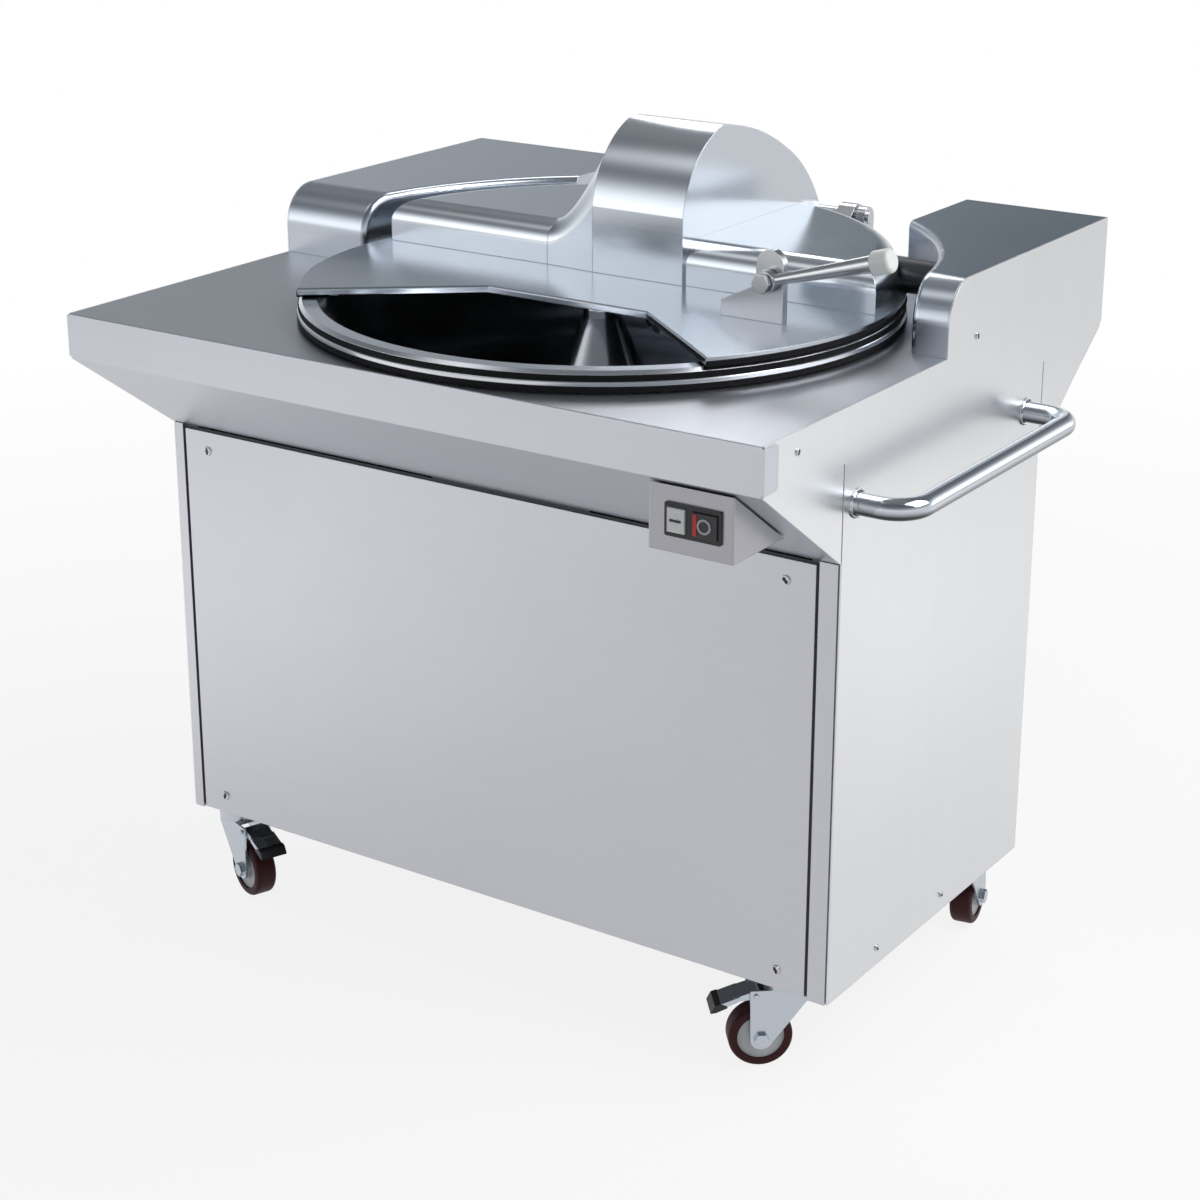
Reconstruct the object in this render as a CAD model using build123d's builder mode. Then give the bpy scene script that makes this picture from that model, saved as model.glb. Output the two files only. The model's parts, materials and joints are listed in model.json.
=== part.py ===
from build123d import *

import os
from math import cos, radians, sin, sqrt, tan

# Floor-standing bowl cutter: a stainless cabinet on four castors, a turning bowl sunk in the worktop,
# sickle knives on a cross shaft and a hinged lid with a knife hood. Millimetres, +Z up.
# The origin is on the floor under the bowl axis, X to the operator's right, Y away from the operator.

os.makedirs("parts", exist_ok=True)

# Castors
wheel_r = 37.5
wheel_w = 28.0
trail = 30.0
axle_r = 6.0
fork_rise = 25.0
fork_inner = 33.0
fork_sheet = 2.5
race_h = 18.0
castor_plate_w = 68.0
castor_plate_d = 56.0
castor_plate_t = 3.0
stem_r = 8.0
stem_gap = 0.5
fork_top = 2 * wheel_r + fork_rise
plate_z0 = fork_top + race_h

# Heights of the cabinet, its worktop and the rear housings
sheet = 2.0
seam = 1.0
table_z = 810.0
lip_h = 53.0
apron_h = 117.0
housing_h = 83.0
frame_bottom = plate_z0 + castor_plate_t
panel_bottom = frame_bottom - seam
lip_bottom = table_z - lip_h
cabinet_top = lip_bottom - apron_h
housing_z = table_z + housing_h
slit = 2.0
slit_top = lip_bottom - 7.0

# Bowl
bowl_in_r = 326.0
rim_w = 27.0
rim_lift = 25.0
rim_skirt = 8.0
trough_r = 134.0
trough_edge = 10.0
bowl_wall = 4.0
hub_foot_r = 52.0
hub_top_r = 22.0
hub_drop = 29.0
collar_gap = 11.0
rim_r = bowl_in_r + rim_w
rim_z = table_z + rim_lift
trough_c = bowl_in_r - trough_edge - trough_r
trough_z = rim_z + 15.0
hub_top_z = rim_z - hub_drop
collar_r = rim_r - rim_skirt - collar_gap

# Lid and its hinge line
lid_clear = 3.0
lid_t = 8.0
deck_step = 11.0
deck_y = 36.0
deck_h = 51.0
deck_round = 27.0
hood_y = 32.0
hood_x0 = -35.0
hood_x1 = 90.0
fairing_x = -103.0
hinge_back = 43.0
pin_r = 8.0
lid_z = rim_z + lid_clear
lid_r = rim_r - 1.0
deck_r = lid_r - deck_step
hinge_y = lid_r + hinge_back
hinge_z = lid_z + 30.0

# Cabinet and worktop on the plan
recess_gap = 32.0
right_margin = 45.0
left_margin = 125.0
front_margin = 3.0
rear_margin = 58.0
lip_overhang = 164.0
rear_overhang = 162.0
housing_y = 36.0
housing_round = 48.0
housing_crest = 8.0
rear_gap_half = 242.0
lip_tab_t = 1.2
lip_tab_y = 27.0
recess_r = rim_r + recess_gap
right_x = recess_r + right_margin
left_x = -recess_r - left_margin
lip_y = -rim_r - front_margin
table_rear_y = hinge_y + rear_margin
front_y = lip_y + lip_overhang
rear_y = table_rear_y - rear_overhang
apron_slope = lip_overhang / apron_h

# Castor stems on the plan, with the direction each castor leads
castors = {
    "front_right": (right_x - 83.0, front_y + 55.0, 40.0),
    "front_left": (left_x + 42.0, front_y + 42.0, 159.0),
    "rear_right": (right_x - 57.0, rear_y - 29.0, 280.0),
    "rear_left": (left_x + 60.0, rear_y - 39.0, 120.0),
}

# Frame of square tube behind the panels
tube = 30.0
frame_left = left_x + 7.0
frame_right = right_x - 7.0
frame_front = front_y + 5.0
frame_rear = rear_y - 2.0
mid_ring_z = cabinet_top - 34.0
left_post_w = 16.0
right_post_w = 25.0
panel_gap = 4.0

# Knife shaft
shaft_r = 12.5
fit = 0.05
sleeve_r = 20.0
slot_clear = 6.0
sleeve_start_x = 96.0
belt_pulley_r = 31.0
shaft_y = trough_c - 2.0
shaft_z = trough_z + 8.0
knife_r = trough_r - 2.0
belt_x = right_x - 57.0
shaft_end_x = belt_x + 17.0

top_floor = lid_z + lid_t
deck_z = top_floor + deck_h


def yz_plane(x):
    """Plane across the machine at x: local x runs along Y, local y along Z."""
    return Plane(origin=(x, 0, 0), x_dir=(0, 1, 0), z_dir=(1, 0, 0))


def xz_plane(y):
    """Plane along the machine at y: local x runs along X, local y along Z, extrusion runs to -Y."""
    return Plane(origin=(0, y, 0), x_dir=(1, 0, 0), z_dir=(0, -1, 0))


def rect(x0, x1, y0, y1, mode=Mode.ADD):
    """Rectangle between two corners in the open sketch."""
    with Locations(((x0 + x1) / 2, (y0 + y1) / 2)):
        Rectangle(x1 - x0, y1 - y0, mode=mode)


def block(x0, x1, y0, y1, z0, z1, mode=Mode.ADD):
    """Block between two corners in the open part."""
    with Locations(((x0 + x1) / 2, (y0 + y1) / 2, (z0 + z1) / 2)):
        Box(x1 - x0, y1 - y0, z1 - z0, mode=mode)


def keep(piece, name):
    """Labels a finished piece and writes it."""
    piece.part.label = name
    export_step(piece.part, f"parts/{name}.step")


# Welded frame: two rings, four uprights that carry the worktop, two top rails and the castor plates
with BuildPart() as base_frame:
    for z in (frame_bottom, mid_ring_z):
        with BuildSketch(Plane.XY.offset(z)):
            rect(frame_left, frame_right, frame_front, frame_rear)
            rect(frame_left + tube, frame_right - tube, frame_front + tube, frame_rear - tube, Mode.SUBTRACT)
        extrude(amount=tube)
    for x in (frame_left, frame_right - tube):
        for y in (frame_front, frame_rear - tube):
            block(x, x + tube, y, y + tube, frame_bottom, table_z - sheet)
        block(x, x + tube, frame_front, frame_rear, table_z - sheet - tube, table_z - sheet)
    for x, y, _ in castors.values():
        with BuildSketch(Plane.XY.offset(plate_z0)):
            with Locations((x, y)):
                RectangleRounded(castor_plate_w, castor_plate_d, 6)
        extrude(amount=frame_bottom - plate_z0)
        with BuildSketch(Plane.XY.offset(plate_z0)):
            with Locations((x, y)):
                Circle(stem_r + fit)
        extrude(amount=frame_bottom - plate_z0 + stem_gap, mode=Mode.SUBTRACT)
keep(base_frame, "base_frame")

# Worktop, front apron and rear apron: one bent sheet between the side panels, with a collar round the bowl
# and lip ends that fold round the corners
with BuildPart() as worktop:
    with BuildSketch(yz_plane(left_x + sheet)):
        with BuildLine():
            Polyline(
                (front_y, cabinet_top),
                (lip_y, lip_bottom),
                (lip_y, table_z),
                (table_rear_y, table_z),
                (table_rear_y, lip_bottom),
                (rear_y, cabinet_top),
                close=True,
            )
        make_face()
        offset(amount=-sheet, kind=Kind.INTERSECTION, mode=Mode.SUBTRACT)
        rect(front_y + sheet, rear_y - sheet, cabinet_top - sheet, cabinet_top + 2 * sheet, Mode.SUBTRACT)
    extrude(amount=right_x - left_x - 2 * sheet)
    with BuildSketch(Plane.XY.offset(table_z - 2 * sheet)):
        Circle(collar_r - sheet)
        rect(belt_x - 18, belt_x + 18, shaft_y - 50, shaft_y + 50)
    extrude(amount=3 * sheet, mode=Mode.SUBTRACT)
    with BuildSketch(Plane.XY.offset(table_z - sheet)):
        Circle(collar_r)
        Circle(collar_r - sheet, mode=Mode.SUBTRACT)
    extrude(amount=14 + sheet)
    lip_corners = worktop.edges().filter_by(Axis.X).group_by(Axis.Y)[0]
    fillet(lip_corners.sort_by(Axis.Z)[-1], 1.5)
    for x0, x1, tab_x in (
        (left_x - lip_tab_t, left_x + sheet, left_x - lip_tab_t),
        (right_x - sheet, right_x + lip_tab_t, right_x),
    ):
        block(x0, x1, lip_y, lip_y + sheet, lip_bottom + sheet, table_z - sheet)
        with BuildSketch(yz_plane(tab_x)) as tab:
            rect(lip_y, lip_y + lip_tab_y, lip_bottom + sheet, table_z - sheet)
            fillet(tab.vertices().group_by(Axis.X)[-1], 6)
        extrude(amount=lip_tab_t)
keep(worktop, "worktop")


def housing_solid(x0, x1, gap_x, inset):
    """Outside of a rear housing, or its hollow when inset by the sheet."""
    with BuildPart() as solid:
        with BuildSketch(yz_plane(x0)) as side:
            rect(housing_y + inset, table_rear_y - inset, table_z, housing_z - inset)
            crown = side.vertices().group_by(Axis.Y)[-1].sort_by(Axis.X)[0]
            fillet(crown, housing_round - inset)
        extrude(amount=x1 - x0)
        with BuildSketch(Plane.XY.offset(table_z)):
            Circle(recess_r + inset)
            rect(min(gap_x, 0), max(gap_x, 0), 0, table_rear_y)
        extrude(amount=housing_z - table_z, mode=Mode.SUBTRACT)
        crest = solid.edges().filter_by(GeomType.CIRCLE).filter_by(Axis.Z, reverse=True).group_by(Axis.Z)[-1]
        fillet(crest.filter_by(lambda e: e.radius > recess_r - 1), housing_crest - inset)
    return solid


def rear_housing(x0, x1, gap_x, shaft_hole):
    """Sheet housing behind the bowl, with a round recess that follows the lid, open below and at the side."""
    gap_inner = gap_x + (sheet if x0 == 0 else -sheet)
    with BuildPart() as shell:
        add(housing_solid(x0, x1, gap_x, 0).part)
        add(housing_solid(x0, x1, gap_inner, sheet).part, mode=Mode.SUBTRACT)
        if shaft_hole:
            with BuildSketch(yz_plane(rear_gap_half)):
                with Locations((shaft_y, shaft_z)):
                    Circle(sleeve_r)
            extrude(amount=belt_x - rear_gap_half, mode=Mode.SUBTRACT)
    return shell


right_housing = rear_housing(0, right_x - sheet, rear_gap_half, True)
keep(right_housing, "right_rear_housing")
left_housing = rear_housing(left_x + sheet, 0, -rear_gap_half, False)
keep(left_housing, "left_rear_housing")


def side_panel(outer_x, inner_x):
    """One side sheet from the lip back over the rear housing, with a shallow pan hung on the frame behind it."""
    pan_top = lip_bottom - seam
    skin_x = outer_x - sheet if outer_x > inner_x else outer_x
    with BuildPart() as panel:
        block(min(outer_x, inner_x), max(outer_x, inner_x), frame_front, frame_rear, panel_bottom, pan_top)
        block(
            min(outer_x, inner_x) - 1,
            max(outer_x, inner_x) + 1,
            frame_front + sheet,
            frame_rear - sheet,
            panel_bottom + sheet,
            pan_top - sheet,
            Mode.SUBTRACT,
        )
        with BuildSketch(yz_plane(skin_x)) as outline:
            with BuildLine():
                Polyline(
                    (front_y + slit, panel_bottom),
                    (front_y + slit, slit_top),
                    (front_y, slit_top),
                    (front_y, cabinet_top),
                    (lip_y + sheet, lip_bottom - sheet / apron_slope),
                    (lip_y + sheet, table_z),
                    (housing_y, table_z),
                    (housing_y, housing_z),
                    (table_rear_y, housing_z),
                    (table_rear_y, lip_bottom + 8),
                    (rear_y, cabinet_top),
                    (rear_y, slit_top),
                    (rear_y - slit, slit_top),
                    (rear_y - slit, panel_bottom),
                    close=True,
                )
            make_face()
            crown = outline.vertices().group_by(Axis.Y)[-1].sort_by(Axis.X)[0]
            fillet(crown, housing_round)
        extrude(amount=sheet)
    return panel


right_side_panel = side_panel(right_x, frame_right)
keep(right_side_panel, "right_side_panel")
left_side_panel = side_panel(left_x, frame_left)
keep(left_side_panel, "left_side_panel")

# Front posts: narrow channels on the frame either side of the front panel
with BuildPart() as front_posts:
    for x0, x1 in ((left_x + sheet + seam, left_x + left_post_w), (right_x - right_post_w, right_x - sheet - seam)):
        block(x0, x1, front_y, frame_front, panel_bottom, cabinet_top - seam)
        block(x0 + sheet, x1 - sheet, front_y + sheet, frame_front, panel_bottom, cabinet_top - seam, Mode.SUBTRACT)
keep(front_posts, "front_posts")

# Front panel: a pan set between the posts with a dark gap all round
panel_x0 = left_x + left_post_w + panel_gap
panel_x1 = right_x - right_post_w - panel_gap
panel_z0 = panel_bottom + 2
panel_z1 = cabinet_top - panel_gap - 2
screw_inset_x = 36.0
screw_inset_z = 24.0
with BuildPart() as front_panel:
    block(panel_x0, panel_x1, front_y, frame_front, panel_z0, panel_z1)
    block(
        panel_x0 + sheet,
        panel_x1 - sheet,
        front_y + sheet,
        frame_front,
        panel_z0 + sheet,
        panel_z1 - sheet,
        Mode.SUBTRACT,
    )
    fillet(front_panel.edges().group_by(Axis.Y)[0], 0.8)
keep(front_panel, "front_panel")

# Rear panel with louvres that let the motor breathe
louvre_count = 9
gland_x = -430.0
gland_z = 190.0
gland_bore_r = 7.0
gland_thread_r = 10.0
with BuildPart() as rear_panel:
    block(frame_left, frame_right, frame_rear, rear_y, panel_bottom + sheet, cabinet_top - seam)
    with BuildSketch(xz_plane(rear_y)):
        for side in (-1, 1):
            with Locations((side * 200 - 40, 420)):
                with GridLocations(0, 22, 1, louvre_count):
                    SlotOverall(160, 8)
        with Locations((gland_x, gland_z)):
            Circle(gland_thread_r)
    extrude(amount=2 * sheet, mode=Mode.SUBTRACT)
keep(rear_panel, "rear_panel")

# Cable gland in the lower left of the rear panel: collar, clamping nut and lock nut round one bore
with BuildPart() as cable_gland:
    with BuildSketch(xz_plane(rear_y + 22)):
        with Locations((gland_x, gland_z)):
            Circle(12.5)
    extrude(amount=8, taper=-8)
    with BuildSketch(xz_plane(rear_y + 14)):
        with Locations((gland_x, gland_z)):
            RegularPolygon(14, 6)
    extrude(amount=14)
    with BuildSketch(xz_plane(rear_y)):
        with Locations((gland_x, gland_z)):
            Circle(gland_thread_r)
    extrude(amount=16)
    with BuildSketch(xz_plane(frame_rear)):
        with Locations((gland_x, gland_z)):
            RegularPolygon(14, 6)
    extrude(amount=5)
    with Locations(Plane(origin=(gland_x, rear_y + 22, gland_z), z_dir=(0, 1, 0))):
        Hole(gland_bore_r, depth=38)
keep(cable_gland, "cable_gland")

# Panel screws: four on the front panel, four on each side panel
screw_head_r = 6.0
side_screw_r = 4.0
with BuildPart() as panel_screws:
    for x in (panel_x0 + screw_inset_x, panel_x1 - screw_inset_x):
        for z in (panel_z0 + screw_inset_z, panel_z1 - screw_inset_z):
            with BuildSketch(xz_plane(front_y)):
                with Locations((x, z)):
                    Circle(screw_head_r)
            extrude(amount=2.2, taper=25)
            with BuildSketch(xz_plane(front_y - 1)):
                with Locations((x, z)):
                    Rectangle(6.5, 1.4)
                    Rectangle(1.4, 6.5)
            extrude(amount=1.4, mode=Mode.SUBTRACT)
    side_spots = [
        (lip_y + 67, table_z - 22),
        (housing_y + 71, table_z + 11),
        (frame_front + 110, panel_bottom + 22),
        (frame_front + 270, panel_bottom + 22),
    ]
    for face_x, direction in ((right_x, 1), (left_x, -1)):
        for y, z in side_spots:
            with BuildSketch(yz_plane(face_x)):
                with Locations((y, z)):
                    Circle(side_screw_r)
            extrude(amount=1.6 * direction)
keep(panel_screws, "panel_screws")

# Switch box: a wedge under the lip on a narrower neck that leaves a shadow gap to the front apron
box_x0 = right_x - 137.0
box_x1 = right_x - 36.0
box_h = 71.0
box_setback = 6.0
box_gap = 3.0
box_top_depth = 0.8
neck_inset = 6.0
box_y = lip_y + box_setback
box_z1 = lip_bottom - (box_setback + box_gap + box_top_depth) / apron_slope
box_z0 = box_z1 - box_h


def apron_y(z):
    """Y of the apron's outer face at height z."""
    return lip_y + (lip_bottom - z) * apron_slope


bezel_x0 = box_x0 + 21.0
bezel_x1 = bezel_x0 + 67.0
bezel_z0 = box_z0 + 18.0
bezel_z1 = bezel_z0 + 36.0
with BuildPart() as switch_box:
    with BuildSketch(yz_plane(box_x0)):
        with BuildLine():
            Polyline(
                (box_y, box_z0),
                (box_y, box_z1),
                (apron_y(box_z1) - box_gap, box_z1),
                (apron_y(box_z0) - box_gap, box_z0),
                close=True,
            )
        make_face()
    extrude(amount=box_x1 - box_x0)
    fillet(switch_box.edges().filter_by(Axis.Z).group_by(Axis.Y)[0], 2)
    with BuildSketch(yz_plane(box_x0 + neck_inset)):
        with BuildLine():
            neck_z0, neck_z1 = box_z0 + neck_inset, box_z1 - neck_inset
            Polyline(
                (apron_y(neck_z0), neck_z0),
                (apron_y(neck_z1), neck_z1),
                (apron_y(neck_z1) - 2 * box_gap, neck_z1),
                (apron_y(neck_z0) - 2 * box_gap, neck_z0),
                close=True,
            )
        make_face()
    extrude(amount=box_x1 - box_x0 - 2 * neck_inset)
    block(bezel_x0 + 2, bezel_x1 - 2, box_y - 1, box_y + 22, bezel_z0 + 2, bezel_z1 - 2, Mode.SUBTRACT)
keep(switch_box, "switch_box")

start_w = 21.0
stop_w = 29.0
start_x = bezel_x0 + 4 + start_w / 2
stop_x = bezel_x1 - 4 - stop_w / 2
button_z = (bezel_z0 + bezel_z1) / 2
button_h = 26.0
with BuildPart() as switch_bezel:
    block(bezel_x0, bezel_x1, box_y - 2.5, box_y, bezel_z0, bezel_z1)
    fillet(switch_bezel.edges().filter_by(Axis.Y), 2)
    block(bezel_x0 + 2, bezel_x1 - 2, box_y, box_y + 14, bezel_z0 + 2, bezel_z1 - 2)
    for x, width in ((start_x, start_w), (stop_x, stop_w)):
        half_w, half_h = width / 2 + 0.4, button_h / 2 + 0.4
        block(x - half_w, x + half_w, box_y - 3, box_y + 10, button_z - half_h, button_z + half_h, Mode.SUBTRACT)
keep(switch_bezel, "switch_bezel")


def push_button(x, width):
    """Rectangular button with a softened front, standing a little out of the bezel."""
    with BuildPart() as button:
        block(
            x - width / 2,
            x + width / 2,
            box_y - 5,
            box_y + 5,
            button_z - button_h / 2,
            button_z + button_h / 2,
        )
        fillet(button.edges().group_by(Axis.Y)[0], 1.2)
    return button


with BuildPart() as start_button:
    add(push_button(start_x, start_w).part)
    with BuildSketch(xz_plane(box_y - 5)):
        with Locations((start_x, button_z)):
            Rectangle(2.2, 13)
    extrude(amount=0.6)
keep(start_button, "start_button")
with BuildPart() as stop_button:
    add(push_button(stop_x, stop_w).part)
    with BuildSketch(xz_plane(box_y - 5)):
        with Locations((stop_x, button_z)):
            Circle(8)
            Circle(6, mode=Mode.SUBTRACT)
    extrude(amount=0.6)
keep(stop_button, "stop_button")

# Push handle on the right side: bent tube welded to the side panel
handle_r = 12.5
handle_out = 62.0
handle_z = lip_bottom - 57.0
handle_y0 = front_y + 30.0
handle_y1 = rear_y - 45.0
handle_bend = 34.0
weld = 2.5
with BuildPart() as push_handle:
    with BuildLine() as handle_path:
        Polyline(
            (right_x, handle_y0, handle_z),
            (right_x + handle_out, handle_y0, handle_z),
            (right_x + handle_out, handle_y1, handle_z),
            (right_x, handle_y1, handle_z),
        )
        fillet(handle_path.vertices().group_by(Axis.X)[-1], handle_bend)
    with BuildSketch(Plane(origin=(right_x, handle_y0, handle_z), z_dir=(1, 0, 0))):
        Circle(handle_r)
    sweep()
    for y in (handle_y0, handle_y1):
        with BuildSketch(yz_plane(right_x)):
            with Locations((y, handle_z)):
                Circle(handle_r + weld)
        extrude(amount=weld, taper=45)
keep(push_handle, "push_handle")

# Bowl: a ring trough round a slim hub, with a rolled rim that hangs over the worktop collar
inner_floor = trough_z - trough_r
edge_z = rim_z - 17.0
edge_r = trough_c + sqrt(trough_r**2 - (trough_z - edge_z) ** 2)
seat_r = 72.0
seat_z = inner_floor - bowl_wall
with BuildPart() as bowl:
    with BuildSketch(Plane.XZ) as section:
        with BuildLine():
            floor_in = (hub_foot_r + 26, inner_floor)
            Line((0, hub_top_z), (hub_top_r, hub_top_z))
            Line((hub_top_r, hub_top_z), (hub_foot_r, inner_floor + 24))
            TangentArc(
                (hub_foot_r, inner_floor + 24),
                floor_in,
                tangent=(hub_foot_r - hub_top_r, inner_floor + 24 - hub_top_z),
            )
            Line(floor_in, (trough_c, inner_floor))
            ThreePointArc(
                (trough_c, inner_floor),
                (trough_c + trough_r * sin(radians(45)), trough_z - trough_r * cos(radians(45))),
                (edge_r, edge_z),
            )
            Line((edge_r, edge_z), (bowl_in_r, rim_z - 4))
            Line((bowl_in_r, rim_z - 4), (bowl_in_r + 4, rim_z))
            Line((bowl_in_r + 4, rim_z), (rim_r - 6, rim_z))
            Line((rim_r - 6, rim_z), (rim_r - 2, rim_z - 4))
            Line((rim_r - 2, rim_z - 4), (rim_r - 3.5, rim_z - 9))
            Line((rim_r - 3.5, rim_z - 9), (rim_r, rim_z - 12))
            Line((rim_r, rim_z - 12), (rim_r, rim_z - 16))
            Line((rim_r, rim_z - 16), (rim_r - 3, rim_z - 19))
            Line((rim_r - 3, rim_z - 19), (rim_r - rim_skirt, rim_z - 19))
            Line((rim_r - rim_skirt, rim_z - 19), (rim_r - rim_skirt, rim_z - 6))
            Line((rim_r - rim_skirt, rim_z - 6), (bowl_in_r + 3, rim_z - 6))
            Line((bowl_in_r + 3, rim_z - 6), (edge_r + bowl_wall, edge_z - 4))
            ThreePointArc(
                (edge_r + bowl_wall, edge_z - 4),
                (
                    trough_c + (trough_r + bowl_wall) * sin(radians(45)),
                    trough_z - (trough_r + bowl_wall) * cos(radians(45)),
                ),
                (trough_c, seat_z),
            )
            Line((trough_c, seat_z), (0, seat_z))
            Line((0, seat_z), (0, hub_top_z))
        make_face()
    revolve(axis=Axis.Z)
keep(bowl, "bowl")

# Cap nut on the bowl hub
with BuildPart() as bowl_hub_cap:
    with BuildSketch(Plane.XY.offset(hub_top_z)):
        Circle(hub_top_r)
    extrude(amount=14)
    fillet(bowl_hub_cap.edges().group_by(Axis.Z)[-1], 5)
keep(bowl_hub_cap, "bowl_hub_cap")

# Bowl spindle: seat flange, then a shaft down through the bearing into the gearbox
spindle_r = 20.0
plate_z = mid_ring_z + tube
plate_t = 6.0
bearing_top = seat_z - 14.0
gearbox_bottom = mid_ring_z - 66.0
with BuildPart() as bowl_spindle:
    with BuildSketch(Plane.XY.offset(bearing_top + 2)):
        Circle(seat_r)
    extrude(amount=seat_z - bearing_top - 2)
    with BuildSketch(Plane.XY.offset(bearing_top + 2)):
        Circle(spindle_r)
    extrude(amount=gearbox_bottom + 46 - bearing_top - 2)
keep(bowl_spindle, "bowl_spindle")

with BuildPart() as bowl_bearing:
    with BuildSketch(Plane.XY.offset(plate_z + plate_t)):
        Circle(85)
    extrude(amount=10)
    with BuildSketch(Plane.XY.offset(plate_z + plate_t + 10)):
        Circle(50)
    extrude(amount=bearing_top - plate_z - plate_t - 10, taper=4)
    with PolarLocations(70, 6):
        with Locations((0, 0, plate_z + plate_t + 10)):
            Cylinder(6, 6, align=(Align.CENTER, Align.CENTER, Align.MIN))
    with Locations((0, 0, bearing_top)):
        Hole(spindle_r + fit, depth=bearing_top - plate_z)
keep(bowl_bearing, "bowl_bearing")

# Drive plates: one across the upper ring for the bowl drive, one across the lower ring for the main motor
motor_plate_x = 70.0
motor_plate_z = frame_bottom + tube
with BuildPart() as drive_plates:
    block(-110, 110, frame_front, frame_rear, plate_z, plate_z + plate_t)
    with Locations((0, 0, plate_z + plate_t)):
        Hole(spindle_r + 4, depth=plate_t)
    block(motor_plate_x, frame_right - tube, frame_front, frame_rear, motor_plate_z, motor_plate_z + plate_t)
keep(drive_plates, "drive_plates")

with BuildPart() as bowl_gearbox:
    block(-65, 65, -65, 65, gearbox_bottom, plate_z)
    fillet(bowl_gearbox.edges().filter_by(Axis.Z), 14)
    with Locations((0, 0, plate_z)):
        Hole(spindle_r + fit, depth=plate_z - gearbox_bottom - 44)
keep(bowl_gearbox, "bowl_gearbox")

with BuildPart() as bowl_motor:
    with BuildSketch(yz_plane(-65)):
        with Locations((0, gearbox_bottom + 36)):
            Circle(46)
    extrude(amount=-16)
    with BuildSketch(yz_plane(-81)):
        with Locations((0, gearbox_bottom + 36)):
            Circle(56)
    extrude(amount=-150)
    for ring in range(6):
        with BuildSketch(yz_plane(-100 - ring * 20)):
            with Locations((0, gearbox_bottom + 36)):
                Circle(57)
                Circle(52, mode=Mode.SUBTRACT)
        extrude(amount=-8, mode=Mode.SUBTRACT)
    with BuildSketch(yz_plane(-231)):
        with Locations((0, gearbox_bottom + 36)):
            Circle(50)
    extrude(amount=-30, taper=6)
keep(bowl_motor, "bowl_motor")

# Knife shaft with its blades, clamping collars and end nut
blade_t = 5.0
blade_gap = 8.0
blade_x0 = 8.0
nut_x = -20.0
with BuildPart() as knife_shaft:
    with BuildSketch(yz_plane(nut_x + 2)):
        with Locations((shaft_y, shaft_z)):
            Circle(shaft_r)
    extrude(amount=shaft_end_x - nut_x - 2)
keep(knife_shaft, "knife_shaft")


def on_shaft(x, radius, length, bore):
    """Ring on the knife shaft line from x, along +X, in the open part."""
    with BuildSketch(yz_plane(x), mode=Mode.PRIVATE) as ring:
        with Locations((shaft_y, shaft_z)):
            Circle(radius)
            if bore:
                Circle(bore, mode=Mode.SUBTRACT)
    extrude(ring.sketch, amount=length)


def polar(radius, angle):
    """Point round the knife shaft in the plane across the machine."""
    return (shaft_y + radius * cos(radians(angle)), shaft_z + radius * sin(radians(angle)))


def sickle(x, turn):
    """One sickle blade: a curved cutting edge running out from the hub to the tip."""
    with BuildPart() as blade:
        with BuildSketch(yz_plane(x)):
            with BuildLine():
                ThreePointArc(polar(26, turn - 40), polar(92, turn - 4), polar(knife_r, turn + 62))
                ThreePointArc(polar(knife_r, turn + 62), polar(78, turn + 52), polar(26, turn + 60))
                Line(polar(26, turn + 60), polar(26, turn - 40))
            make_face()
            with Locations((shaft_y, shaft_z)):
                Circle(30)
                Circle(shaft_r, mode=Mode.SUBTRACT)
        extrude(amount=blade_t)
    return blade


with BuildPart() as knives:
    for index in range(3):
        add(sickle(blade_x0 + index * (blade_t + blade_gap), 40 + index * 120).part)
keep(knives, "knives")

with BuildPart() as knife_clamp:
    on_shaft(nut_x + 18, 26, blade_x0 - nut_x - 18, shaft_r)
    for index in range(2):
        on_shaft(blade_x0 + blade_t + index * (blade_t + blade_gap), 26, blade_gap, shaft_r)
    stack_end = blade_x0 + 3 * blade_t + 2 * blade_gap
    on_shaft(stack_end, 30, 20, shaft_r)
    with BuildSketch(yz_plane(nut_x + 2)):
        with Locations((shaft_y, shaft_z)):
            RegularPolygon(24, 6)
            Circle(shaft_r, mode=Mode.SUBTRACT)
    extrude(amount=16)
    on_shaft(nut_x, 20, 2, 0)
keep(knife_clamp, "knife_clamp")

# Bearing sleeve of the knife shaft, standing on the worktop behind the recess wall
sleeve_end_x = belt_x - 20
with BuildPart() as knife_bearing:
    block(sleeve_end_x - 31, sleeve_end_x, shaft_y - 40, shaft_y + 60, table_z, shaft_z + 24)
    with Locations((0, 0, table_z)):
        Cylinder(recess_r + sheet, 100, align=(Align.CENTER, Align.CENTER, Align.MIN), mode=Mode.SUBTRACT)
    on_shaft(sleeve_start_x, sleeve_r, sleeve_end_x - sleeve_start_x, 0)
    with Locations(Plane(origin=(sleeve_end_x, shaft_y, shaft_z), z_dir=(1, 0, 0))):
        Hole(shaft_r + fit)
    with BuildSketch(yz_plane(sleeve_start_x + 30)):
        with Locations((shaft_y, shaft_z)):
            Circle(shaft_r + 5)
    extrude(amount=sleeve_end_x - sleeve_start_x - 60, mode=Mode.SUBTRACT)
keep(knife_bearing, "knife_bearing")

# Belt drive: two belts from the main motor up to the knife shaft
motor_r = 74.0
motor_y = 120.0
motor_z = motor_plate_z + plate_t + motor_r + 1.0
motor_pulley_r = 45.0
motor_shaft_r = 12.0
pulley_w = 30.0
groove_w = 11.0
groove_d = 9.0
belt_w = 10.0
belt_pitch = 14.0
pulley_x0 = belt_x - pulley_w / 2


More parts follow.
